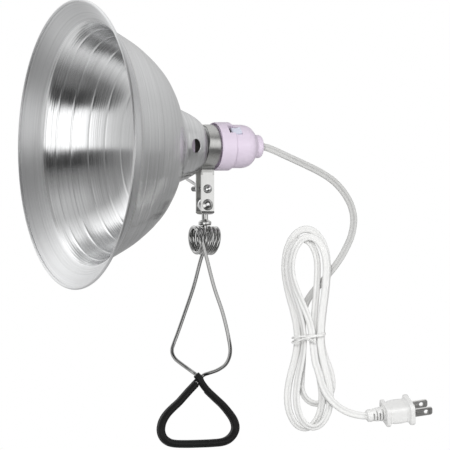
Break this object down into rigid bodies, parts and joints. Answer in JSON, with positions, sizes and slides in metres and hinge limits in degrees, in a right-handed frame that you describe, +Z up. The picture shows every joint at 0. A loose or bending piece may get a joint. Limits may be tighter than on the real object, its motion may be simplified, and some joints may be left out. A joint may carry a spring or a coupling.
{
  "type": "clamp-on heat lamp",
  "caption": "Clamp-on heat lamp: spun reflector, lampholder with a rocker switch, steel band on a ball swivel, sprung wire clamp with sleeved jaws, and a tied flat cord with a plug.",
  "frame": {"origin": "midway between the two jaws, at the middle of the gripping triangle", "axes": "+X runs along the lamp axis from the reflector's mouth towards the cord, +Y runs from the front jaw to the rear jaw, +Z is up"},
  "size_m": [0.2574, 0.216, 0.336],
  "materials": {
    "spun_aluminium": "bright spun aluminium with a satin band round the rim",
    "nickel_steel": "nickel-plated sheet and turned steel",
    "bright_steel": "bright plated spring wire, ball, screw and wing nut",
    "lilac_shell": "satin lilac plastic",
    "pale_rocker": "pale smooth plastic",
    "phenolic": "dark moulded insulator",
    "brass": "plain brass",
    "dark_lead": "black lead insulation",
    "pale_lead": "white lead insulation",
    "jaw_vinyl": "black soft vinyl sleeve",
    "cord_pvc": "white flexible cord jacket",
    "tie_plastic": "white tie",
    "plug_plastic": "white moulded plug",
    "blade_metal": "plated blade"
  },
  "bodies": {
    "clamp_hub": {"spring_coils": "bright_steel"},
    "front_jaw": {"rear_leg_wire": "bright_steel", "front_jaw_sleeve": "jaw_vinyl"},
    "rear_jaw": {"front_leg_wire": "bright_steel", "rear_jaw_sleeve": "jaw_vinyl"},
    "stud": {"swivel_stud": "nickel_steel"},
    "ball": {"swivel_ball": "bright_steel"},
    "lamp_head": {"reflector": "spun_aluminium", "mounting_band": "nickel_steel", "band_screw": "bright_steel", "lampholder_collar": "lilac_shell", "lampholder_cap": "lilac_shell", "switch_body": "phenolic", "screw_shell": "brass", "insulating_base": "phenolic", "center_contact": "brass", "contact_rivet": "brass", "terminal_screw_hot": "brass", "terminal_screw_neutral": "brass", "lead_neutral": "pale_lead", "lead_hot": "dark_lead", "lead_switched": "dark_lead", "cord_grip_bush": "phenolic", "cord_drop": "cord_pvc", "cord_plug_lead": "cord_pvc", "cord_hank": "cord_pvc", "hank_tie": "tie_plastic", "plug_strain_relief": "plug_plastic", "plug_body": "plug_plastic", "plug_blade_hot": "blade_metal", "plug_blade_neutral": "blade_metal"},
    "nut": {"wing_nut": "bright_steel"},
    "rocker": {"switch_rocker": "pale_rocker"}
  },
  "joints": [
    {"name": "front_jaw_open", "type": "hinge", "parent": "clamp_hub", "child": "front_jaw", "pos_m": [0.00506, 0, 0.13791], "axis": [-0.9993, 0, 0.0366], "range_deg": [0, 10], "stiffness_Nm_per_rad": 5, "springref_deg": -17.19, "deforming": ["spring_coils"]},
    {"name": "rear_jaw_open", "type": "hinge", "parent": "clamp_hub", "child": "rear_jaw", "pos_m": [0.00506, 0, 0.13791], "axis": [0.9993, 0, -0.0366], "range_deg": [0, 10]},
    {"name": "stud_swivel", "type": "hinge", "parent": "clamp_hub", "child": "stud", "pos_m": [0.00541, 0, 0.15], "axis": [0, 0, 1], "continuous": true},
    {"name": "ball_side_tilt", "type": "hinge", "parent": "stud", "child": "ball", "pos_m": [0.00541, 0, 0.1646], "axis": [1, 0, 0], "range_deg": [-8, 8]},
    {"name": "head_swing", "type": "hinge", "parent": "ball", "child": "lamp_head", "pos_m": [0.00541, 0, 0.1646], "axis": [0, 1, 0], "range_deg": [-40, 80]},
    {"name": "wing_nut_spin", "type": "hinge", "parent": "lamp_head", "child": "nut", "pos_m": [0.00541, 0.009, 0.1765], "axis": [0, 1, 0], "continuous": true},
    {"name": "switch_rock", "type": "hinge", "parent": "lamp_head", "child": "rocker", "pos_m": [0.02581, -0.0105, 0.21966], "axis": [0, 0.7314, 0.682], "range_deg": [0, 16]}
  ],
  "couplings": [
    {"joint": "rear_jaw_open", "follows": "front_jaw_open", "ratio": 1}
  ]
}
